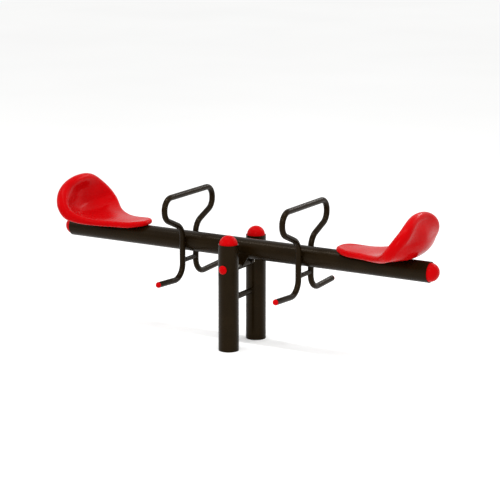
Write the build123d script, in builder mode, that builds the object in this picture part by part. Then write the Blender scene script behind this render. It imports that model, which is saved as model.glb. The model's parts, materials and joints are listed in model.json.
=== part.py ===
from build123d import *
import os
from math import asin, cos, degrees, radians, sin, tan

# Two-seat playground seesaw.  Millimetres, +Z up.
# X runs along the beam, Y across it, and the origin is on the ground midway between the posts.
# "front" is the -Y side, "left" is the -X end.

# ---- Driving dimensions ----
# Posts and beam are the same steel tube.
tube_radius = 57.15
tube_wall = 3.6
post_height = 604.0
post_offset = 149.0             # from the beam's centre line to each post's axis
foot_disc_thickness = 5.0
rung_radius = 16.85             # also the handles' tube
rung_wall = 2.6
rung_height = 289.0
beam_half_length = 1155.0

# Pivot
axle_height = 470.0
axle_radius = 15.0
axle_shoulder_recess = 4.0      # the shoulder stops this far short of the sleeve's nut seat
stud_radius = 10.0
stud_length = 14.0              # beyond the nut seat
stud_chamfer = 1.5
running_clearance = 0.08        # radial, between axle and bush
sleeve_radius = 24.15           # sleeves are welded through the posts
sleeve_bore_radius = 15.1
sleeve_inner_stand = 3.0        # how far a sleeve stands out of its post, towards the beam
sleeve_outer_stand = 1.0
nut_seat_radius = 19.25
nut_seat_depth = 4.0
washer_radius = 18.5
washer_thickness = 3.0
washer_play = 0.5               # radial, between a washer or plate hole and its bolt
nut_across_flats = 30.0
nut_height = 10.0
pivot_tube_radius = 30.15
pivot_bore_radius = 25.15
bush_length = 40.0
bush_flange_radius = 28.5
bush_flange_thickness = 4.0
thrust_washer_radius = 28.0
thrust_washer_thickness = 2.0
end_float = 0.35                # axial play at each end of the pivot tube
gusset_thickness = 8.0
gusset_offset = 46.0
gusset_half_length = 62.0
gusset_edge_height = 42.0       # above the axle
gusset_foot_half_length = 27.0
gusset_foot_drop = 12.0         # below the axle

# Red plugs of the posts and of the beam
dome_radius = 51.5
dome_height = 50.0
dome_skin = 3.0
dome_spigot_gap = 1.2           # radial, between spigot and tube bore
dome_spigot_depth = 32.0
rib_gap = 0.05                  # radial, between the spigot's ribs and the tube bore
rib_width = 2.5
axle_cap_radius = 24.0
axle_cap_skirt = 6.0
axle_cap_height = 18.0
axle_cap_skin = 2.5

# Handles: one bent tube each, from footrest to footrest
handle_positions = {"left": -353.0, "right": 398.0}
handle_radius = 16.85
handle_wall = 2.6
grip_height = 835.0             # centre line of the top bar
loop_half_width = 249.0
loop_corner_height = 721.0      # where the loop's side would meet its slanting lower run
neck_corner_height = 644.5      # where the slanting run would meet the leg
leg_offset = 69.5
foot_corner_height = 351.0
foot_reach = 318.0
foot_rise_angle = 3.0
loop_bend = 65.0
neck_bend = 85.0
foot_bend = 82.0
brace_radius = 13.45
brace_height = 454.0
foot_plug_height = 15.0
foot_plug_skin = 2.5
foot_plug_spigot_gap = 0.4
foot_plug_spigot_depth = 28.0

# Seats: thick-lipped mouldings.  Each is a flat tongue that widens and turns up into a deep dish.
seat_positions = {"left": -649.0, "right": 632.0}   # the tongue's tip, on the seat's middle line
seat_centre_thickness = 20.0
tongue_length = 381.0
turn_radius = 85.0
turn_angle = 91.0
back_radius = 195.0
back_turn_angle = 32.0
back_end_length = 40.0
fan_start = 300.0               # the sections lean back from here, along the middle line ...
fan_end = 625.0                 # ... to here, where they stand square to the back
fan_ease = 0.18                 # share of that length over which the lean sets in
flank_slope = 2.05              # where a flank meets the lip, its slope over its mean slope
flank_inner = 0.36              # the flank's two handles, as shares of its reach
flank_outer = 0.65
lip_angle_low = -40.0           # the angle round the lip where a flank meets it is sought between these
lip_angle_high = 75.0
lip_angle_halvings = 40
# Along the middle line from the tip: distance, half width to the lip's centre, level of that centre,
# lip radius, and levels of the upper surface and the underside at the middle
seat_stations = [
    (-22, 21, -10.5, 6, -4.5, -16.5),
    (-17, 31, -10.5, 11, 0.5, -21),
    (-8, 42, -11, 15, 3.5, -24),
    (8, 56, -12, 16, 3, -24),
    (30, 71, -15, 16.5, 1, -22),
    (70, 83, -18.5, 17, 0, -20),
    (116, 87, -20.5, 17, 0, -20),
    (165, 97, -20, 17, 0, -20),
    (212, 120, -17, 17.5, 0, -20),
    (260, 147, -12.5, 18, 0, -20),
    (308, 178, 0.5, 21.5, 0, -20),
    (344, 204, 16, 27, 2, -21),
    (380, 219.5, 33, 31, 6, -24),
    (416, 226, 47.5, 32.5, 11, -28),
    (452, 226, 55, 33, 14, -31),
    (488, 221, 55, 33, 14, -32),
    (524, 210, 46, 34, 10, -30),
    (556, 194, 31, 35, 6, -28),
    (584, 174, 14, 35.5, 3, -31),
    (606, 151, -2, 32.5, 3.5, -41),
    (624, 119, -15.5, 27, 5.5, -49.5),
    (638, 90, -21, 22, 3, -47),
    (647, 66, -22, 14, -3, -40.5),
    (651, 46, -22, 7.5, -9, -34.5),
]

# Seat fixings: a steel plate carried on the beam, bolts from below into inserts in the moulding
seat_plate_distance = 240.0     # from the tongue's tip to the plate's middle
seat_plate_length = 130.0
seat_plate_width = 120.0
seat_plate_thickness = 5.0
seat_plate_corner = 10.0
plate_recess_gap = 2.0          # around the plate, where the moulding's underside is relieved
plate_recess_depth = 16.0
seat_web_thickness = 6.0        # four small webs carry the plate on the beam's round top
seat_web_width = 37.0
seat_web_spacing_x = 48.0
seat_web_spacing_y = 53.0
bolt_spacing_x = 90.0
bolt_spacing_y = 88.0
bolt_radius = 4.0
bolt_head_across_flats = 13.0
bolt_head_height = 5.3
bolt_length = 16.0
bolt_washer_radius = 8.0
bolt_washer_thickness = 1.6
insert_radius = 6.0
insert_length = 12.0

# ---- Worked-out dimensions ----
tube_bore_radius = tube_radius - tube_wall
beam_height = axle_height + pivot_tube_radius + tube_radius
beam_top = beam_height + tube_radius
seat_height = beam_top + seat_plate_thickness + seat_centre_thickness   # the tongue's upper surface
sleeve_inner_end = post_offset - tube_radius - sleeve_inner_stand
sleeve_outer_end = post_offset + tube_radius + sleeve_outer_stand
nut_seat_face = sleeve_outer_end - nut_seat_depth
bush_flange_end = sleeve_inner_end - thrust_washer_thickness - end_float
pivot_half_length = bush_flange_end - bush_flange_thickness
sides = {"front": -1, "back": 1}
ends = {"left": -1, "right": 1}

os.makedirs("parts", exist_ok=True)


def save(part, label):
    """Label a finished piece and write its file."""
    part.label = label
    export_step(part, f"parts/{label}.step")


def facing(direction, origin):
    """A plane at origin whose normal is the horizontal or vertical direction."""
    across = (0, 1, 0) if direction[1] == 0 else (1, 0, 0)
    return Plane(origin=origin, x_dir=across, z_dir=direction)


def section_through(plane):
    """The plane that holds the given plane's x direction and its normal."""
    return Plane(origin=plane.origin, x_dir=plane.x_dir, z_dir=plane.x_dir.cross(plane.z_dir))


def dome_arc(radius, height, base=0):
    """The quarter outline of a spherical dome, from its rim up to its top on the axis."""
    sphere = (radius ** 2 + height ** 2) / (2 * height)
    rim_angle = degrees(asin((sphere - height) / sphere))
    CenterArc((0, base + height - sphere), sphere, start_angle=rim_angle, arc_size=90 - rim_angle)


def domed_plug(plane, head_radius, head_height, skin, bore, gap, depth):
    """A hollow moulded plug: a domed head outside the plane and a ribbed spigot inside a tube."""
    spigot = bore - gap
    hollow = min(head_radius, spigot) - skin
    rib_reach = bore - rib_gap - hollow
    with BuildPart() as plug:
        with BuildSketch(section_through(plane)) as plug_section:
            with BuildLine() as plug_outline:
                dome_arc(head_radius, head_height)
                Line((0, head_height), (0, head_height - skin))
                dome_arc(hollow, head_height - skin)
                Polyline((hollow, 0), (hollow, -depth), (spigot, -depth), (spigot, 0), (head_radius, 0))
            make_face()
            for level in (0.25, 0.5, 0.75):
                with Locations((hollow, -level * depth)):
                    Rectangle(rib_reach, rib_width, align=(Align.MIN, Align.CENTER))
        revolve(axis=Axis(plane.origin, plane.z_dir))
    return plug.part


def axle_cap(plane):
    """A thin cap with a short skirt and a domed face, which hides the axle's nut."""
    inner_radius = axle_cap_radius - axle_cap_skin
    dome = axle_cap_height - axle_cap_skirt
    with BuildPart() as cap:
        with BuildSketch(section_through(plane)) as cap_section:
            with BuildLine() as cap_outline:
                Line((axle_cap_radius, 0), (axle_cap_radius, axle_cap_skirt))
                dome_arc(axle_cap_radius, dome, axle_cap_skirt)
                Line((0, axle_cap_height), (0, axle_cap_height - axle_cap_skin))
                dome_arc(inner_radius, dome - axle_cap_skin, axle_cap_skirt)
                Polyline((inner_radius, axle_cap_skirt), (inner_radius, 0), (axle_cap_radius, 0))
            make_face()
        revolve(axis=Axis(plane.origin, plane.z_dir))
    return cap.part


# ---- Posts, their feet, caps and the lower rung ----
for side, sign in sides.items():
    foot = Plane(origin=(0, sign * post_offset, 0))
    with BuildPart() as post:
        with BuildSketch(foot) as post_section:
            Circle(tube_radius)
            Circle(tube_bore_radius, mode=Mode.SUBTRACT)
        extrude(amount=post_height)
        with Locations((0, sign * post_offset, axle_height)):
            Cylinder(sleeve_radius, 2.5 * tube_radius, rotation=(90, 0, 0), mode=Mode.SUBTRACT)
    save(post.part, f"post_{side}")

    with BuildPart() as foot_disc:
        with BuildSketch(foot) as foot_disc_outline:
            Circle(tube_bore_radius)
        extrude(amount=foot_disc_thickness)
    save(foot_disc.part, f"post_foot_disc_{side}")

    mouth = facing((0, 0, 1), (0, sign * post_offset, post_height))
    cap = domed_plug(mouth, dome_radius, dome_height, dome_skin, tube_bore_radius,
                     dome_spigot_gap, dome_spigot_depth)
    save(cap, f"post_cap_{side}")

with BuildPart() as lower_rung:
    with BuildSketch(Plane.XZ) as rung_section:
        with Locations((0, rung_height)):
            Circle(rung_radius)
            Circle(rung_radius - rung_wall, mode=Mode.SUBTRACT)
    extrude(amount=post_offset, both=True)
    with Locations((0, -post_offset, rung_height), (0, post_offset, rung_height)):
        Cylinder(tube_radius, 4 * rung_radius, mode=Mode.SUBTRACT)
save(lower_rung.part, "lower_rung")

# ---- Axle, its sleeves and what holds it ----
stud_end = nut_seat_face + stud_length
shoulder = nut_seat_face - axle_shoulder_recess
with BuildPart() as axle:
    with BuildSketch(Plane.XZ) as stud_section:
        with Locations((0, axle_height)):
            Circle(stud_radius)
    extrude(amount=stud_end, both=True)
    with BuildSketch(Plane.XZ) as axle_section:
        with Locations((0, axle_height)):
            Circle(axle_radius)
    extrude(amount=shoulder, both=True)
    tips = axle.faces().filter_by(Axis.Y).sort_by(Axis.Y)
    chamfer([tips[0].edge(), tips[-1].edge()], stud_chamfer)
save(axle.part, "axle")

with BuildPart() as axle_washers:
    for sign in sides.values():
        with BuildSketch(facing((0, sign, 0), (0, sign * nut_seat_face, axle_height))) as washer_section:
            Circle(washer_radius)
            Circle(stud_radius + washer_play, mode=Mode.SUBTRACT)
        extrude(amount=washer_thickness)
save(axle_washers.part, "axle_washers")

nut_face = nut_seat_face + washer_thickness
with BuildPart() as axle_nuts:
    for sign in sides.values():
        with BuildSketch(facing((0, sign, 0), (0, sign * nut_face, axle_height))) as nut_section:
            RegularPolygon(nut_across_flats / 2, 6, major_radius=False)
            Circle(stud_radius, mode=Mode.SUBTRACT)
        extrude(amount=nut_height)
save(axle_nuts.part, "axle_nuts")

with BuildPart() as thrust_washers:
    for sign in sides.values():
        with BuildSketch(facing((0, -sign, 0), (0, sign * sleeve_inner_end, axle_height))) as thrust_section:
            Circle(thrust_washer_radius)
            Circle(sleeve_bore_radius, mode=Mode.SUBTRACT)
        extrude(amount=thrust_washer_thickness)
save(thrust_washers.part, "thrust_washers")

for side, sign in sides.items():
    outer_end = facing((0, sign, 0), (0, sign * sleeve_outer_end, axle_height))
    with BuildPart() as sleeve:
        with BuildSketch(outer_end) as sleeve_section:
            Circle(sleeve_radius)
            Circle(sleeve_bore_radius, mode=Mode.SUBTRACT)
        extrude(amount=sleeve_inner_end - sleeve_outer_end)
        with BuildSketch(outer_end) as nut_seat:
            Circle(nut_seat_radius)
        extrude(amount=-nut_seat_depth, mode=Mode.SUBTRACT)
    save(sleeve.part, f"axle_sleeve_{side}")
    save(axle_cap(outer_end), f"axle_cap_{side}")

# ---- Beam with its end caps ----
with BuildPart() as beam:
    with BuildSketch(Plane.YZ) as beam_section:
        with Locations((0, beam_height)):
            Circle(tube_radius)
            Circle(tube_bore_radius, mode=Mode.SUBTRACT)
    extrude(amount=beam_half_length, both=True)
save(beam.part, "beam")

for end, sign in ends.items():
    mouth = facing((sign, 0, 0), (sign * beam_half_length, 0, beam_height))
    cap = domed_plug(mouth, dome_radius, dome_height, dome_skin, tube_bore_radius,
                     dome_spigot_gap, dome_spigot_depth)
    save(cap, f"beam_cap_{end}")

# ---- Pivot tube under the beam, its gussets and bushes ----
with BuildPart() as pivot_tube:
    with BuildSketch(Plane.XZ) as pivot_section:
        with Locations((0, axle_height)):
            Circle(pivot_tube_radius)
            Circle(pivot_bore_radius, mode=Mode.SUBTRACT)
    extrude(amount=pivot_half_length, both=True)
save(pivot_tube.part, "pivot_tube")

with BuildPart() as pivot_gussets:
    for sign in sides.values():
        with BuildSketch(facing((0, 1, 0), (0, sign * gusset_offset, axle_height))) as gusset_outline:
            with BuildLine() as gusset_edge:
                Polyline(
                    (-gusset_half_length, -tube_radius - gusset_thickness),
                    (gusset_half_length, -tube_radius - gusset_thickness),
                    (gusset_half_length, -gusset_edge_height),
                    (gusset_foot_half_length, gusset_foot_drop),
                    (-gusset_foot_half_length, gusset_foot_drop),
                    (-gusset_half_length, -gusset_edge_height),
                    close=True,
                )
            make_face()
        extrude(amount=gusset_thickness / 2, both=True)
    with Locations((0, 0, beam_height)):
        Cylinder(tube_radius, 4 * gusset_half_length, rotation=(0, 90, 0), mode=Mode.SUBTRACT)
    with Locations((0, 0, axle_height)):
        Cylinder(pivot_tube_radius, 4 * gusset_offset, rotation=(90, 0, 0), mode=Mode.SUBTRACT)
save(pivot_gussets.part, "pivot_gussets")

for side, sign in sides.items():
    flange_end = facing((0, -sign, 0), (0, sign * bush_flange_end, axle_height))
    with BuildPart() as bush:
        with BuildSketch(flange_end) as bush_flange:
            Circle(bush_flange_radius)
        extrude(amount=bush_flange_thickness)
        with BuildSketch(flange_end) as bush_barrel:
            Circle(pivot_bore_radius)
        extrude(amount=bush_flange_thickness + bush_length)
        with BuildSketch(flange_end) as bush_bore:
            Circle(axle_radius + running_clearance)
        extrude(amount=bush_flange_thickness + bush_length, mode=Mode.SUBTRACT)
    save(bush.part, f"pivot_bush_{side}")

# ---- Handles with their braces and footrest plugs ----
foot_end_height = foot_corner_height + (foot_reach - leg_offset) * tan(radians(foot_rise_angle))
half_route = [
    (foot_reach, foot_end_height),
    (leg_offset, foot_corner_height),
    (leg_offset, neck_corner_height),
    (loop_half_width, loop_corner_height),
    (loop_half_width, grip_height),
]
route = [(-y, z) for y, z in half_route] + half_route[::-1]
half_bends = [foot_bend, neck_bend, loop_bend, loop_bend]

for end, position in handle_positions.items():
    with BuildPart() as handle:
        with BuildLine(Plane.YZ.offset(position)) as handle_line:
            FilletPolyline(*route, radius=half_bends + half_bends[::-1])
        with BuildSketch(Plane(origin=handle_line.line @ 0, z_dir=handle_line.line % 0)) as handle_section:
            Circle(handle_radius)
            Circle(handle_radius - handle_wall, mode=Mode.SUBTRACT)
        sweep(path=handle_line.line)
        with Locations((position, 0, beam_height)):
            Cylinder(tube_radius, 4 * handle_radius, rotation=(0, 90, 0), mode=Mode.SUBTRACT)
    save(handle.part, f"handle_{end}")

    with BuildPart() as brace:
        with BuildSketch(Plane.XZ) as brace_section:
            with Locations((position, brace_height)):
                Circle(brace_radius)
                Circle(brace_radius - handle_wall, mode=Mode.SUBTRACT)
        extrude(amount=leg_offset, both=True)
        with Locations((position, -leg_offset, brace_height), (position, leg_offset, brace_height)):
            Cylinder(handle_radius, 4 * brace_radius, mode=Mode.SUBTRACT)
    save(brace.part, f"handle_brace_{end}")

    for side, sign in sides.items():
        outward = (0, sign * cos(radians(foot_rise_angle)), sin(radians(foot_rise_angle)))
        tube_end = facing(outward, (position, sign * foot_reach, foot_end_height))
        plug = domed_plug(tube_end, handle_radius, foot_plug_height, foot_plug_skin,
                          handle_radius - handle_wall, foot_plug_spigot_gap, foot_plug_spigot_depth)
        save(plug, f"footrest_plug_{end}_{side}")

# ---- Seats with their plates, webs, bolts, washers and threaded inserts ----
def flank(half_width, level, lip, middle, side):
    """Curve points from the seat's middle out to the lip's upper (1) or lower (-1) side, without a crease."""
    low, high = radians(lip_angle_low), radians(lip_angle_high)
    for halving in range(lip_angle_halvings):
        angle = (low + high) / 2
        reach = half_width - side * lip * sin(angle)
        height = level + side * lip * cos(angle)
        if tan(angle) > flank_slope * (height - middle) / reach:
            high = angle
        else:
            low = angle
    before_lip = height - (1 - flank_outer) * reach * tan(angle)
    return [(0, middle), (flank_inner * reach, middle), (flank_outer * reach, before_lip), (reach, height)]


def mirrored(points):
    """The same curve on the other side of the middle, run the other way."""
    return [(-across, height) for across, height in reversed(points)]


def fan_lean(distance):
    """How far the section at this distance leans back, in radians."""
    share = min(max((distance - fan_start) / (fan_end - fan_start), 0), 1)
    eased = share ** 2 / (2 * fan_ease) if share < fan_ease else share - fan_ease / 2
    return radians(turn_angle + back_turn_angle) * eased / (1 - fan_ease / 2)


def seat_form(tip, sign):
    """The seat's moulded form, lofted through sections that fan out along its middle line."""
    side_plane = Plane(origin=(tip, 0, seat_height), x_dir=(sign, 0, 0), z_dir=(0, -sign, 0))
    start = seat_stations[0][0]
    with BuildPart() as form:
        with BuildLine(side_plane, mode=Mode.PRIVATE) as middle_line:
            tongue = Line((start, 0), (tongue_length, 0))
            turn = JernArc(tongue @ 1, tongue % 1, turn_radius, turn_angle)
            back = JernArc(turn @ 1, turn % 1, back_radius, back_turn_angle)
            PolarLine(back @ 1, back_end_length, direction=back % 1)
        middle = middle_line.wire()
        for distance, half_width, level, lip, top, floor in seat_stations:
            place = middle.position_at(distance - start, position_mode=PositionMode.LENGTH)
            lean = fan_lean(distance)
            upper = flank(half_width, level, lip, top, 1)
            lower = flank(half_width, level, lip, floor, -1)
            outermost = half_width + lip
            square_on = (sign * cos(lean), 0, sin(lean))
            with BuildSketch(Plane(origin=place, x_dir=(0, sign, 0), z_dir=square_on)) as station:
                with BuildLine() as station_outline:
                    Bezier(*upper)
                    ThreePointArc(upper[-1], (outermost, level), lower[-1])
                    Bezier(*lower[::-1])
                    Bezier(*mirrored(lower)[::-1])
                    ThreePointArc(mirrored(lower)[0], (-outermost, level), mirrored(upper)[0])
                    Bezier(*mirrored(upper))
                make_face()
        loft()
    return form.part


for end, sign in ends.items():
    tip = seat_positions[end]
    fixing_top = Plane(origin=(tip + sign * seat_plate_distance, 0, beam_top + seat_plate_thickness))
    plate_bottom = fixing_top.offset(-seat_plate_thickness)
    head_top = plate_bottom.offset(-bolt_washer_thickness)

    with BuildPart() as seat:
        add(seat_form(tip, sign))
        with BuildSketch(fixing_top) as insert_holes:
            with GridLocations(bolt_spacing_x, bolt_spacing_y, 2, 2):
                Circle(insert_radius)
        extrude(amount=insert_length, mode=Mode.SUBTRACT)
        with BuildSketch(fixing_top) as plate_recess:
            Rectangle(seat_plate_length + 2 * plate_recess_gap, seat_plate_width + 2 * plate_recess_gap)
        extrude(amount=-plate_recess_depth, mode=Mode.SUBTRACT)
    save(seat.part, f"seat_{end}")

    with BuildPart() as seat_inserts:
        with BuildSketch(fixing_top) as insert_section:
            with GridLocations(bolt_spacing_x, bolt_spacing_y, 2, 2):
                Circle(insert_radius)
                Circle(bolt_radius, mode=Mode.SUBTRACT)
        extrude(amount=insert_length)
    save(seat_inserts.part, f"seat_inserts_{end}")

    with BuildPart() as seat_plate:
        with BuildSketch(plate_bottom) as plate_outline:
            RectangleRounded(seat_plate_length, seat_plate_width, seat_plate_corner)
            with GridLocations(bolt_spacing_x, bolt_spacing_y, 2, 2):
                Circle(bolt_radius + washer_play, mode=Mode.SUBTRACT)
        extrude(amount=seat_plate_thickness)
    save(seat_plate.part, f"seat_plate_{end}")

    with BuildPart() as seat_webs:
        with BuildSketch(plate_bottom) as web_footprint:
            with GridLocations(seat_web_spacing_x, seat_web_spacing_y, 2, 2):
                Rectangle(seat_web_thickness, seat_web_width)
        extrude(amount=-tube_radius)
        with Locations((tip, 0, beam_height)):
            Cylinder(tube_radius, 4 * tongue_length, rotation=(0, 90, 0), mode=Mode.SUBTRACT)
    save(seat_webs.part, f"seat_webs_{end}")

    with BuildPart() as seat_washers:
        with BuildSketch(head_top) as seat_washer_section:
            with GridLocations(bolt_spacing_x, bolt_spacing_y, 2, 2):
                Circle(bolt_washer_radius)
                Circle(bolt_radius + washer_play, mode=Mode.SUBTRACT)
        extrude(amount=bolt_washer_thickness)
    save(seat_washers.part, f"seat_washers_{end}")

    with BuildPart() as seat_bolts:
        with BuildSketch(head_top) as bolt_heads:
            with GridLocations(bolt_spacing_x, bolt_spacing_y, 2, 2):
                RegularPolygon(bolt_head_across_flats / 2, 6, major_radius=False)
        extrude(amount=-bolt_head_height)
        with BuildSketch(head_top) as bolt_shanks:
            with GridLocations(bolt_spacing_x, bolt_spacing_y, 2, 2):
                Circle(bolt_radius)
        extrude(amount=bolt_length)
    save(seat_bolts.part, f"seat_bolts_{end}")
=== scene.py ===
import bpy, bmesh, json, math
import numpy as np
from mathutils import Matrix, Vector


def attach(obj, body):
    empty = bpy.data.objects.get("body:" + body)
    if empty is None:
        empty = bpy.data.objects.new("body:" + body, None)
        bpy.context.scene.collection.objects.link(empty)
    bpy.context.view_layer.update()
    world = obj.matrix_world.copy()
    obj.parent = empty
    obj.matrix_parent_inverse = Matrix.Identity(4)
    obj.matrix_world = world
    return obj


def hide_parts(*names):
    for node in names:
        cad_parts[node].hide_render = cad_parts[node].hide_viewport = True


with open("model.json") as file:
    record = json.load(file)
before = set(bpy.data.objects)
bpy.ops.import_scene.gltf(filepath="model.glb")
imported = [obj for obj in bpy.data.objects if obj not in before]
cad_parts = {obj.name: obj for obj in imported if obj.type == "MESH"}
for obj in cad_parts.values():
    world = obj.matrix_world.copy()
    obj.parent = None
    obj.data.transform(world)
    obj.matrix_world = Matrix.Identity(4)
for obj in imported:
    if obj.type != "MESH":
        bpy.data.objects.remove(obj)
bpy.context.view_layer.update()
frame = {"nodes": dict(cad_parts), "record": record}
nodes = frame["nodes"]

# ---- The seesaw's sizes, in metres, in the row frame, as the CAD has them ----
TUBE_R = 0.05715            # posts and beam
AXLE_Z = 0.470
PIVOT_R = 0.03015
BEAM_Z = AXLE_Z + PIVOT_R + TUBE_R
POST_Y = 0.149
SLEEVE_R = 0.02415
RUNG_R, RUNG_Z = 0.01685, 0.289
LEG_R, LEG_Y = 0.01685, 0.0695
BRACE_R, BRACE_Z = 0.01345, 0.454
HANDLE_X = {"left": -0.353, "right": 0.398}
SEAT_TIP_X = {"left": -0.649, "right": 0.632}
SEAT_Z = BEAM_Z + TUBE_R + 0.025
SIDES = {"front": -1, "back": 1}
ENDS = {"left": -1, "right": 1}

# ---- Materials ----
# Low values keep the white surroundings from greying the dark and red surfaces
COAT_IOR = 1.18
PLASTIC_IOR = 1.13


class Shader:
    """A node material under construction; each call adds one node and links its inputs."""
    def __init__(self, name):
        self.material = bpy.data.materials.new(name)
        self.material.use_nodes = True
        self.tree = self.material.node_tree
        self.bsdf = self.tree.nodes["Principled BSDF"]
        self.coords = self.tree.nodes.new("ShaderNodeTexCoord").outputs["Object"]

    def put(self, socket, value):
        if isinstance(value, bpy.types.NodeSocket):
            self.tree.links.new(value, socket)
        else:
            socket.default_value = value

    def node(self, kind, settings=None, **inputs):
        made = self.tree.nodes.new("ShaderNode" + kind)
        for key, value in (settings or {}).items():
            setattr(made, key, value)
        for key, value in inputs.items():
            self.put(made.inputs[key.replace("_", " ")], value)
        return made

    def noise(self, scale, detail=2.0, roughness=0.5, stretch=None):
        vector = self.coords
        if stretch:
            vector = self.node("Mapping", Vector=self.coords, Scale=stretch).outputs["Vector"]
        made = self.node("TexNoise", Vector=vector, Scale=scale, Detail=detail, Roughness=roughness)
        return made.outputs["Fac"]

    def remap(self, value, low, high, to_low, to_high):
        made = self.node("MapRange", Value=value)
        for key, number in (("From Min", low), ("From Max", high), ("To Min", to_low), ("To Max", to_high)):
            made.inputs[key].default_value = number
        return made.outputs["Result"]

    def mix(self, factor, a, b):
        made = self.node("Mix", {"data_type": "RGBA"})
        self.put(made.inputs[0], factor)
        self.put(made.inputs[6], a)
        self.put(made.inputs[7], b)
        return made.outputs[2]

    def bump(self, height, strength, distance, normal=None):
        made = self.node("Bump", Height=height, Strength=strength, Distance=distance)
        if normal is not None:
            self.put(made.inputs["Normal"], normal)
        return made.outputs["Normal"]

    def done(self, **inputs):
        for key, value in inputs.items():
            self.put(self.bsdf.inputs[key.replace("_", " ")], value)
        return self.material


def powder_coat():
    """Dark brown powder coat: cloudy colour, fine orange peel, a few small scuffs and faint dust."""
    s = Shader("powder_coat")
    cloud = s.noise(9.0, 4.0, 0.6)
    patch = s.remap(cloud, 0.3, 0.7, 0.0, 1.0)
    colour = s.mix(patch, (0.0055, 0.0027, 0.0006, 1), (0.0088, 0.0048, 0.0014, 1))
    speck = s.remap(s.noise(520.0, 1.0), 0.66, 0.74, 0.0, 0.35)
    colour = s.mix(speck, colour, (0.020, 0.013, 0.006, 1))
    scuff = s.remap(s.noise(34.0, 5.0, 0.7, (1.0, 1.0, 0.35)), 0.69, 0.76, 0.0, 0.5)
    colour = s.mix(scuff, colour, (0.024, 0.018, 0.011, 1))
    rough = s.remap(s.noise(22.0, 3.0), 0.25, 0.75, 0.24, 0.33)
    peel = s.bump(s.noise(380.0, 2.0), 0.35, 0.0004)
    grain = s.bump(s.noise(1500.0, 1.0), 0.18, 0.0002, peel)
    return s.done(Base_Color=colour, Roughness=rough, Normal=grain, IOR=COAT_IOR,
                  Specular_Tint=(1.0, 0.82, 0.58, 1))


def red_plastic(name, rough_low, rough_high, ripple):
    """Moulded red plastic: pigment clouding, soft mould ripple, fine surface grain and light rubbing."""
    s = Shader(name)
    cloud = s.noise(7.0, 3.0, 0.55)
    patch = s.remap(cloud, 0.3, 0.7, 0.0, 1.0)
    colour = s.mix(patch, (0.37, 0.0006, 0.0014, 1), (0.43, 0.0010, 0.0020, 1))
    pale = s.remap(s.noise(900.0, 1.0), 0.68, 0.75, 0.0, 0.18)
    colour = s.mix(pale, colour, (0.46, 0.018, 0.018, 1))
    rough = s.remap(s.noise(14.0, 4.0, 0.6), 0.3, 0.7, rough_low, rough_high)
    wave = s.bump(s.noise(11.0, 1.0), ripple, 0.004)
    grain = s.bump(s.noise(1100.0, 1.0), 0.10, 0.0002, wave)
    return s.done(Base_Color=colour, Roughness=rough, Normal=grain, IOR=PLASTIC_IOR,
                  Specular_Tint=(1.0, 0.30, 0.30, 1))


def zinc():
    """Zinc-plated steel with mottled tone and turned rings."""
    s = Shader("zinc_plate")
    mottle = s.noise(140.0, 4.0, 0.65)
    colour = s.mix(s.remap(mottle, 0.3, 0.7, 0.0, 1.0), (0.42, 0.42, 0.40, 1), (0.62, 0.61, 0.57, 1))
    rough = s.remap(s.noise(260.0, 3.0), 0.3, 0.7, 0.26, 0.44)
    scratch = s.bump(s.noise(900.0, 2.0, 0.5, (1.0, 0.08, 1.0)), 0.2, 0.0002)
    return s.done(Base_Color=colour, Roughness=rough, Normal=scratch, Metallic=1.0)


def bearing():
    """Off-white self-lubricating plastic."""
    s = Shader("bearing_plastic")
    patch = s.remap(s.noise(60.0, 3.0), 0.3, 0.7, 0.0, 1.0)
    colour = s.mix(patch, (0.60, 0.57, 0.48, 1), (0.70, 0.67, 0.58, 1))
    rough = s.remap(s.noise(200.0, 2.0), 0.3, 0.7, 0.42, 0.58)
    rings = s.bump(s.noise(700.0, 1.0, 0.5, (1.0, 0.1, 1.0)), 0.2, 0.0002)
    return s.done(Base_Color=colour, Roughness=rough, Normal=rings)


def brass():
    """Knurled brass insert, slightly tarnished."""
    s = Shader("insert_brass")
    patch = s.remap(s.noise(180.0, 3.0), 0.3, 0.7, 0.0, 1.0)
    colour = s.mix(patch, (0.48, 0.33, 0.10, 1), (0.66, 0.48, 0.18, 1))
    rough = s.remap(s.noise(300.0, 2.0), 0.3, 0.7, 0.28, 0.45)
    knurl = s.bump(s.noise(1200.0, 1.0), 0.3, 0.0003)
    return s.done(Base_Color=colour, Roughness=rough, Normal=knurl, Metallic=1.0)


def studio_floor():
    """Plain pale floor with barely visible unevenness."""
    s = Shader("studio_floor")
    patch = s.remap(s.noise(0.35, 2.0), 0.3, 0.7, 0.0, 1.0)
    colour = s.mix(patch, (0.90, 0.90, 0.895, 1), (0.925, 0.925, 0.92, 1))
    return s.done(Base_Color=colour, Roughness=0.9, Specular_IOR_Level=0.0)


materials = {
    "coated_steel": powder_coat(),
    "red_seat": red_plastic("red_seat_plastic", 0.20, 0.30, 0.10),
    "red_plug": red_plastic("red_plug_plastic", 0.27, 0.38, 0.05),
    "zinc_steel": zinc(),
    "bearing_plastic": bearing(),
    "insert_brass": brass(),
}
node_slots = {entry["node"]: entry["material_slot"] for entry in frame["record"]["subparts"]}
for name, obj in nodes.items():
    obj.data.materials.clear()
    obj.data.materials.append(materials[node_slots[name]])


def make_object(name, verts, faces, slot, body):
    mesh = bpy.data.meshes.new(name)
    mesh.from_pydata([tuple(v) for v in verts], [], faces)
    shape = bmesh.new()
    shape.from_mesh(mesh)
    bmesh.ops.recalc_face_normals(shape, faces=shape.faces)
    shape.to_mesh(mesh)
    shape.free()
    for polygon in mesh.polygons:
        polygon.use_smooth = True
    obj = bpy.data.objects.new(name, mesh)
    bpy.context.scene.collection.objects.link(obj)
    mesh.materials.append(materials[slot])
    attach(obj, body)
    return obj


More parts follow.
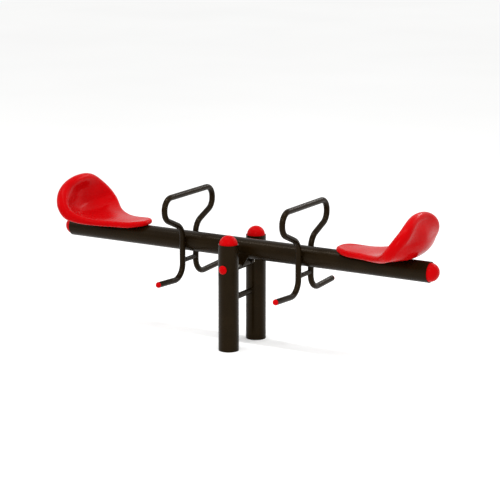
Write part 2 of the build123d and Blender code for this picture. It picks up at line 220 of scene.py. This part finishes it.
# ---- Seats: one moulding each, a sheet whose thick rolled lip runs smoothly into the dish ----
# The edge from the tongue's tip round to the top of the back, in millimetres: distance along the seat's
# middle line, half width, level of the lip's centre, lip radius
EDGE = [
    (-24, 0, -10.5, 15), (-20, 35, -10.5, 15), (-7, 57, -11, 15.5), (13, 76, -12.5, 16),
    (42, 92.5, -16, 16.5), (78, 101, -19, 17), (118, 105, -20.5, 17), (165, 114, -20, 17.3),
    (212, 137, -17, 17.6), (260, 166, -11, 18.5), (306, 200, 1, 22), (344, 230, 17, 26.5),
    (382, 250, 33, 30.5), (418, 258.5, 44, 32.5), (452, 259, 49, 33), (484, 256.5, 48, 33),
    (512, 250, 42, 33.5), (560, 227, 24, 34.5), (600, 189, 4, 33.5), (630, 138, -11, 30.5),
    (648.5, 76, -19, 28), (655, 0, -21.7, 27.5),
]
# On the middle line: distance, and levels of the upper surface and the underside
MIDDLE = np.array([
    (0, 3, -24.5), (20, 2, -23.5), (40, 0.5, -21.5), (75, 0, -20), (308, 0, -20), (344, 2, -21),
    (380, 6, -24), (416, 11, -28), (452, 14, -31), (488, 14, -33), (524, 10, -33), (570, 5, -34),
], float)
# The middle line: a flat tongue, a tight turn up and a wide curve to the top of the back
TONGUE, TURN_R, TURN = 381.0, 85.0, math.radians(91)
BACK_R, BACK_TURN = 195.0, math.radians(32)
# Between these distances the levels lean back with the seat; the ease is the share over which that sets in
FAN_START, FAN_END, FAN_EASE = 300.0, 625.0, 0.18
# A flank's slope at the lip over its mean slope, and the places of its two handles as shares of its reach
FLANK_SLOPE, FLANK_IN, FLANK_OUT = 2.05, 0.36, 0.65
# The angle round the lip where a flank meets it is sought between these
ANGLE_LOW, ANGLE_HIGH, HALVINGS = math.radians(-45), math.radians(75), 40
# The flanks run to the middle line between these distances; the ends of the edge gather on them
HUB_TIP, HUB_TIP_REACH, HUB_TOP, HUB_TOP_REACH = 26.0, 78.0, 566.0, 452.0
EDGE_POINTS, FLANK_POINTS, LIP_POINTS = 150, 26, 18
EDGE_STEP = 1e-4                # share of the edge over which its direction is taken


def closed_spline(points, marks):
    """Values of a smooth closed curve through the points, at shares of its length."""
    p = np.array(points, float)
    n = len(p)
    h = np.linalg.norm(np.roll(p, -1, 0)[:, :2] - p[:, :2], axis=1)
    before = np.roll(h, 1)
    system, right = np.zeros((n, n)), np.zeros_like(p)
    for i in range(n):
        system[i, i - 1] += before[i]
        system[i, i] += 2 * (before[i] + h[i])
        system[i, (i + 1) % n] += h[i]
        right[i] = 6 * ((p[(i + 1) % n] - p[i]) / h[i] - (p[i] - p[i - 1]) / before[i])
    bend = np.linalg.solve(system, right)
    knots = np.concatenate([[0], np.cumsum(h)])
    at = np.asarray(marks) * knots[-1]
    i = np.clip(np.searchsorted(knots, at, side="right") - 1, 0, n - 1)
    j = (i + 1) % n
    u, v, w = (knots[i + 1] - at)[:, None], (at - knots[i])[:, None], h[i][:, None]
    return ((bend[i] * u**3 + bend[j] * v**3) / (6 * w)
            + (p[i] / w - bend[i] * w / 6) * u + (p[j] / w - bend[j] * w / 6) * v)


def level_at(column, at):
    """Level on the middle line, smooth between the listed places and without overshoot."""
    x, y = MIDDLE[:, 0], MIDDLE[:, column]
    d = np.diff(y) / np.diff(x)
    inner = np.where(d[1:] * d[:-1] > 0, 2 * d[1:] * d[:-1] / (d[1:] + d[:-1] + 1e-12), 0)
    m = np.concatenate([[d[0]], inner, [d[-1]]])
    i = int(np.clip(np.searchsorted(x, at) - 1, 0, len(x) - 2))
    h = x[i + 1] - x[i]
    t = (at - x[i]) / h
    return ((2 * t**3 - 3 * t**2 + 1) * y[i] + (t**3 - 2 * t**2 + t) * h * m[i]
            + (3 * t**2 - 2 * t**3) * y[i + 1] + (t**3 - t**2) * h * m[i + 1])


def lean_at(distance):
    """How far the levels lean back at this distance, in radians."""
    t = min(max((distance - FAN_START) / (FAN_END - FAN_START), 0), 1)
    eased = t * t / (2 * FAN_EASE) if t < FAN_EASE else t - FAN_EASE / 2
    return eased / (1 - FAN_EASE / 2) * (TURN + BACK_TURN)


def seat_point(distance, across, level):
    """Where a distance along the middle line, a width and a level above it come out, square to the lean."""
    turn = min(max((distance - TONGUE) / TURN_R, 0), TURN)
    x = min(distance, TONGUE) + TURN_R * math.sin(turn)
    z = TURN_R * (1 - math.cos(turn))
    beyond = max(distance - TONGUE - TURN_R * TURN, 0)
    back = min(beyond / BACK_R, BACK_TURN)
    x += BACK_R * (math.sin(turn + back) - math.sin(turn))
    z += BACK_R * (math.cos(turn) - math.cos(turn + back))
    rest = beyond - BACK_R * back
    x += rest * math.cos(turn + back)
    z += rest * math.sin(turn + back)
    lean = lean_at(distance)
    return np.array((x - level * math.sin(lean), across, z + level * math.cos(lean)))


def unit(v):
    """The vector's direction, with length 1."""
    return v / np.linalg.norm(v)


def gathered(start, end, slope, t):
    """A value that leaves start level and reaches end with the slope given."""
    return (2 * t**3 - 3 * t**2 + 1) * start + (3 * t**2 - 2 * t**3) * end + (t**3 - t**2) * slope


def flank(hub, hub_ahead, lip, out, up, along, radius, side):
    """Points from the middle out to the lip's upper (1) or lower (-1) side, and the angle they meet at."""
    inward, rise = np.dot(lip - hub, out), np.dot(hub - lip, up)
    low, high = ANGLE_LOW, ANGLE_HIGH
    for _ in range(HALVINGS):
        angle = 0.5 * (low + high)
        reach = inward - side * radius * math.sin(angle)
        if math.tan(angle) > FLANK_SLOPE * (side * radius * math.cos(angle) - rise) / reach:
            high = angle
        else:
            low = angle
    touch = lip + radius * side * (math.cos(angle) * up - math.sin(angle) * out)
    normal = unit(np.cross(hub_ahead, (0, 1, 0)))
    toward = touch - hub
    first = hub + FLANK_IN * reach * unit(toward - np.dot(toward, normal) * normal)
    second = touch - (1 - FLANK_OUT) * (reach * (out + math.tan(angle) * up) + np.dot(toward, along) * along)
    line = [(1 - t)**3 * hub + 3 * (1 - t)**2 * t * first + 3 * (1 - t) * t**2 * second + t**3 * touch
            for t in np.linspace(0, 1, FLANK_POINTS + 1)]
    return line, angle


def seat_rings():
    """Half of the seat as rings of points, each from the top's middle round the lip to the underside's."""
    whole_edge = EDGE + [(d, -y, level, r) for d, y, level, r in EDGE[-2:0:-1]]
    marks = np.linspace(0, 0.5, EDGE_POINTS + 1)
    edge = closed_spline(whole_edge, marks)
    ahead = closed_spline(whole_edge, marks + EDGE_STEP)[:, :2]
    ahead = ahead - closed_spline(whole_edge, (marks - EDGE_STEP) % 1)[:, :2]
    ahead /= np.linalg.norm(ahead, axis=1)[:, None]
    # the lip's centre line lies one lip radius inside the edge
    centre = edge[:, :2] + edge[:, 3:] * np.stack([ahead[:, 1], -ahead[:, 0]], 1)
    centre[[0, -1], 1] = 0
    length = np.concatenate([[0], np.cumsum(np.linalg.norm(np.diff(centre, axis=0), axis=1))])
    tip_span = np.interp(HUB_TIP_REACH, centre[:, 0], length)
    top_span = length[-1] - np.interp(HUB_TOP_REACH, centre[:, 0], length)
    lips = np.array([seat_point(d, y, level) for (d, y), level in zip(centre, edge[:, 2])])
    rings = []
    for i, (d, y) in enumerate(centre):
        if length[i] < tip_span:
            place = gathered(HUB_TIP, HUB_TIP_REACH, tip_span, length[i] / tip_span)
        elif length[-1] - length[i] < top_span:
            place = gathered(HUB_TOP, HUB_TOP_REACH, -top_span, (length[-1] - length[i]) / top_span)
        else:
            place = d
        if i == 0 or i == EDGE_POINTS:
            along = np.array((0, 1.0 if i == 0 else -1.0, 0))
        else:
            along = unit(lips[i + 1] - lips[i - 1])
        lean = lean_at(d)
        up = np.array((-math.sin(lean), 0, math.cos(lean)))
        up = unit(up - np.dot(up, along) * along)
        hubs = []
        for column in (1, 2):
            here, near, far = (seat_point(q, 0, level_at(column, q)) for q in (place, place - 1, place + 1))
            hubs.append((here, unit(far - near)))
        out = np.cross(up, along)
        if np.dot(lips[i] - hubs[0][0], out) < 0:
            out = -out
        radius = edge[i, 3]
        upper, inner = flank(*hubs[0], lips[i], out, up, along, radius, 1)
        lower, outer = flank(*hubs[1], lips[i], out, up, along, radius, -1)
        sweep = np.linspace(math.pi / 2 + inner, outer - math.pi / 2, LIP_POINTS + 1)[1:-1]
        lip = [lips[i] + radius * (math.cos(a) * out + math.sin(a) * up) for a in sweep]
        rings.append(upper + lip + lower[::-1])
    return rings


def seat(end, sign, rings):
    """One seat's moulding: the half and its mirror image, sharing the points on the middle."""
    last = len(rings[0]) - 1
    verts, index = [], {}

    def vertex(half, i, k):
        x, y, z = rings[i][k]
        if i in (0, EDGE_POINTS) or k in (0, last):
            half, y = 1, 0.0
        key = (half, i, k)
        if key not in index:
            index[key] = len(verts)
            verts.append((SEAT_TIP_X[end] + sign * x / 1000, half * y / 1000, SEAT_Z + z / 1000))
        return index[key]

    faces = []
    for half in (1, -1):
        for i in range(EDGE_POINTS):
            for k in range(last):
                corners = ((i, k), (i, k + 1), (i + 1, k + 1), (i + 1, k))
                loop = [vertex(half, *corner) for corner in corners]
                faces.append(tuple(loop[::half]))
    obj = make_object(f"seat_moulding_{end}", verts, faces, "red_seat", "beam")
    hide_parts(f"seat_{end}")


half_seat = seat_rings()
for end, sign in ENDS.items():
    seat(end, sign, half_seat)

# ---- Weld beads where the steel pieces meet ----
BEAD_R, FINE_BEAD_R = 0.0024, 0.0018
BEAD_STEP = 0.0011              # between rings of points
BEAD_PITCH = 0.0042             # between ripples
RIPPLE, UNEVEN = 0.14, 0.05     # shares of the bead's radius
UNEVEN_TURN = 37.0              # radians from one ring to the next, so that the unevenness has no rhythm
STEEP = 0.8                     # a bead rising more steeply than this takes its cross-section from X, not Z


def bead(name, path, body, radius=BEAD_R, sides=8):
    """A rippled weld bead along a closed line."""
    q = np.array(path + path[:1], float)
    lengths = np.linalg.norm(np.diff(q, axis=0), axis=1)
    total = lengths.sum()
    along = np.concatenate([[0], np.cumsum(lengths)])
    count = max(24, int(total / BEAD_STEP))
    marks = np.linspace(0, total, count, endpoint=False)
    line = np.array([[np.interp(m, along, q[:, k]) for k in range(3)] for m in marks])
    ahead = np.roll(line, -1, 0) - np.roll(line, 1, 0)
    ahead /= np.linalg.norm(ahead, axis=1)[:, None]
    pitch = total / max(8, round(total / BEAD_PITCH))
    verts, faces = [], []
    for i, (c, t) in enumerate(zip(line, ahead)):
        up = Vector((0, 0, 1)) if abs(t[2]) < STEEP else Vector((1, 0, 0))
        t = Vector(t)
        n = t.cross(up).normalized()
        b = t.cross(n).normalized()
        wave = RIPPLE * math.sin(2 * math.pi * marks[i] / pitch)
        ripple = radius * (1 + wave + UNEVEN * math.sin(UNEVEN_TURN * i))
        for k in range(sides):
            a = 2 * math.pi * k / sides
            verts.append(Vector(c) + ripple * (math.cos(a) * n + math.sin(a) * b))
            m = (k + 1) % sides
            j = (i + 1) % count
            faces.append((i * sides + k, i * sides + m, j * sides + m, j * sides + k))
    make_object(name, verts, faces, "coated_steel", body)


def angles(count=64):
    """Evenly spaced angles round a circle."""
    return [2 * math.pi * k / count for k in range(count)]


def saddle(x0, side, tube_y, tube_r, stub_r, z, way=-1):
    """Where a stub tube along Y meets an upright tube, on the upright's inner (-1) or outer (1) side."""
    line = []
    for a in angles():
        across = stub_r * math.sin(a)
        y = side * (tube_y + way * math.sqrt(tube_r**2 - across**2))
        line.append((x0 + across, y, z + stub_r * math.cos(a)))
    return line


LEG_POINTS = 24
for side, s in SIDES.items():
    for end in ENDS:
        x0 = HANDLE_X[end]
        widest = math.acos((LEG_Y - TUBE_R) / LEG_R)
        loop = []
        for half in (1, -1):
            for k in range(LEG_POINTS):
                a = half * widest * (2 * k / LEG_POINTS - 1)
                y = LEG_Y - LEG_R * math.cos(a)
                z = BEAM_Z + half * math.sqrt(max(TUBE_R**2 - y**2, 0))
                loop.append((x0 + LEG_R * math.sin(a), s * y, z))
        bead(f"weld_handle_{end}_{side}", loop, "beam")
        bead(f"weld_brace_{end}_{side}", saddle(x0, s, LEG_Y, LEG_R, BRACE_R, BRACE_Z), "beam", FINE_BEAD_R)
    bead(f"weld_rung_{side}", saddle(0, s, POST_Y, TUBE_R, RUNG_R, RUNG_Z), "base")
    for place, way in (("inner", -1), ("outer", 1)):
        loop = saddle(0, s, POST_Y, TUBE_R, SLEEVE_R, AXLE_Z, way)
        bead(f"weld_sleeve_{side}_{place}", loop, "base", FINE_BEAD_R)

# ---- Floor, light and camera ----
FLOOR_HALF = 70.0
mesh = bpy.data.meshes.new("floor")
floor_corners = [(x * FLOOR_HALF, y * FLOOR_HALF, 0) for x, y in ((-1, -1), (1, -1), (1, 1), (-1, 1))]
mesh.from_pydata(floor_corners, [], [(0, 1, 2, 3)])
floor = bpy.data.objects.new("floor", mesh)
bpy.context.scene.collection.objects.link(floor)
mesh.materials.append(studio_floor())

world = bpy.data.worlds.new("studio")
bpy.context.scene.world = world
world.use_nodes = True
sky = world.node_tree.nodes["Background"]
sky.inputs["Color"].default_value = (1.0, 1.0, 1.0, 1)
sky.inputs["Strength"].default_value = 1.03


def area_light(name, place, target, size, power):
    """A rectangular lamp at place, turned to face target."""
    data = bpy.data.lights.new(name, "AREA")
    data.shape = "RECTANGLE"
    data.size, data.size_y = size
    data.energy = power
    light = bpy.data.objects.new(name, data)
    bpy.context.scene.collection.objects.link(light)
    light.location = place
    light.rotation_euler = (Vector(target) - Vector(place)).to_track_quat("-Z", "Y").to_euler()


area_light("strip", (0.2, -0.7, 5.0), (0.2, 0, 0.5), (6.0, 0.10), 130)
area_light("key", (2.2, -3.8, 3.4), (0, 0, 0.5), (0.6, 0.35), 70)
area_light("fill", (-4.5, -2.5, 2.6), (0, 0, 0.5), (0.5, 0.8), 35)
area_light("rim", (1.5, 4.2, 3.4), (0, 0, 0.5), (3.0, 0.3), 50)

camera_data = bpy.data.cameras.new("camera")
camera_data.sensor_width = 36.0
camera_data.lens = 130.89
camera_data.clip_end = 300.0
camera = bpy.data.objects.new("camera", camera_data)
bpy.context.scene.collection.objects.link(camera)
camera.location = (5.1009, -8.4779, 2.8116)
camera.rotation_euler = (math.radians(77.082), 0, math.radians(30.787))
bpy.context.scene.camera = camera
bpy.context.scene.view_settings.view_transform = "Standard"
